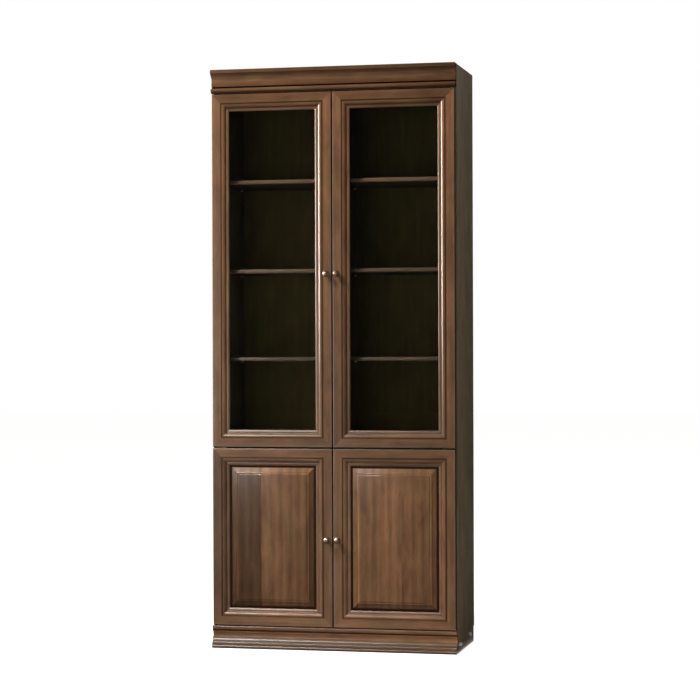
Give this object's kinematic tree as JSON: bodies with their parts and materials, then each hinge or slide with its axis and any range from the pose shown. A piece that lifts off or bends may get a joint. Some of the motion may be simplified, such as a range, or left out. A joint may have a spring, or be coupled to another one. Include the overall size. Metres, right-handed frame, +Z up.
{
  "type": "bookcase with glass doors",
  "caption": "Tall traditional wooden bookcase: framed glass doors above, raised-panel doors below, moulded crown and base, shelves on pins inside.",
  "frame": {"origin": "on the floor, in the middle of the width and of the depth over the knobs", "axes": "+X to the right seen from the front, +Y to the back, +Z up"},
  "size_m": [0.962, 0.42, 2.2],
  "materials": {
    "moulding_wood": "stained and glazed solid wood, satin lacquer, dark glaze in the grooves",
    "panel_wood": "glued solid staves, stained, satin lacquer",
    "side_wood": "stained veneer, satin lacquer",
    "case_wood": "dark stained veneer, matt lacquer",
    "shelf_wood": "stained veneer with a solid front edge, matt lacquer",
    "back_board": "dark stained plywood, matt",
    "block_wood": "bare softwood",
    "bead_wood": "stained, matt",
    "glass": "clear float glass",
    "knob_bronze": "aged bronze, satin",
    "hinge_brass": "burnished, dull",
    "pin_steel": "nickel-plated",
    "bolt_nickel": "nickel-plated, satin",
    "catch_plastic": "brown moulded plastic",
    "glide_plastic": "hard black plastic"
  },
  "bodies": {
    "case": {"side_left": "side_wood", "side_right": "side_wood", "top_board": "case_wood", "middle_board": "case_wood", "bottom_board": "case_wood", "partition_upper": "case_wood", "partition_lower": "case_wood", "back_upper": "back_board", "back_lower": "back_board", "crown_moulding": "moulding_wood", "base_moulding": "moulding_wood", "crown_rear_rail": "block_wood", "base_rear_rail": "block_wood", "glue_blocks": "block_wood", "floor_glides": "glide_plastic", "joining_bolts": "bolt_nickel", "magnetic_catches": "catch_plastic", "pivot_leaves": "hinge_brass", "shelf_pins": "pin_steel", "shelf_upper_left_1": "shelf_wood", "shelf_upper_left_2": "shelf_wood", "shelf_upper_left_3": "shelf_wood", "shelf_upper_right_1": "shelf_wood", "shelf_upper_right_2": "shelf_wood", "shelf_upper_right_3": "shelf_wood", "shelf_lower_left": "shelf_wood", "shelf_lower_right": "shelf_wood"},
    "glass_door_left": {"glass_door_left_hinge_stile": "moulding_wood", "glass_door_left_meeting_stile": "moulding_wood", "glass_door_left_top_rail": "moulding_wood", "glass_door_left_bottom_rail": "moulding_wood", "glass_door_left_glass": "glass", "glass_door_left_glass_beads": "bead_wood", "glass_door_left_knob": "knob_bronze", "glass_door_left_fittings": "hinge_brass"},
    "panel_door_left": {"panel_door_left_hinge_stile": "moulding_wood", "panel_door_left_meeting_stile": "moulding_wood", "panel_door_left_top_rail": "moulding_wood", "panel_door_left_bottom_rail": "moulding_wood", "panel_door_left_panel": "panel_wood", "panel_door_left_knob": "knob_bronze", "panel_door_left_fittings": "hinge_brass"},
    "glass_door_right": {"glass_door_right_hinge_stile": "moulding_wood", "glass_door_right_meeting_stile": "moulding_wood", "glass_door_right_top_rail": "moulding_wood", "glass_door_right_bottom_rail": "moulding_wood", "glass_door_right_glass": "glass", "glass_door_right_glass_beads": "bead_wood", "glass_door_right_knob": "knob_bronze", "glass_door_right_fittings": "hinge_brass"},
    "panel_door_right": {"panel_door_right_hinge_stile": "moulding_wood", "panel_door_right_meeting_stile": "moulding_wood", "panel_door_right_top_rail": "moulding_wood", "panel_door_right_bottom_rail": "moulding_wood", "panel_door_right_panel": "panel_wood", "panel_door_right_knob": "knob_bronze", "panel_door_right_fittings": "hinge_brass"}
  },
  "joints": [
    {"name": "glass_door_left_hinge", "type": "hinge", "parent": "case", "child": "glass_door_left", "pos_m": [-0.46049, -0.171, 1.4365], "axis": [0, 0, -1], "range_deg": [0, 110]},
    {"name": "glass_door_right_hinge", "type": "hinge", "parent": "case", "child": "glass_door_right", "pos_m": [0.46049, -0.171, 1.4365], "axis": [0, 0, 1], "range_deg": [0, 110]},
    {"name": "panel_door_left_hinge", "type": "hinge", "parent": "case", "child": "panel_door_left", "pos_m": [-0.46049, -0.171, 0.426], "axis": [0, 0, -1], "range_deg": [0, 110]},
    {"name": "panel_door_right_hinge", "type": "hinge", "parent": "case", "child": "panel_door_right", "pos_m": [0.46049, -0.171, 0.426], "axis": [0, 0, 1], "range_deg": [0, 110]}
  ]
}
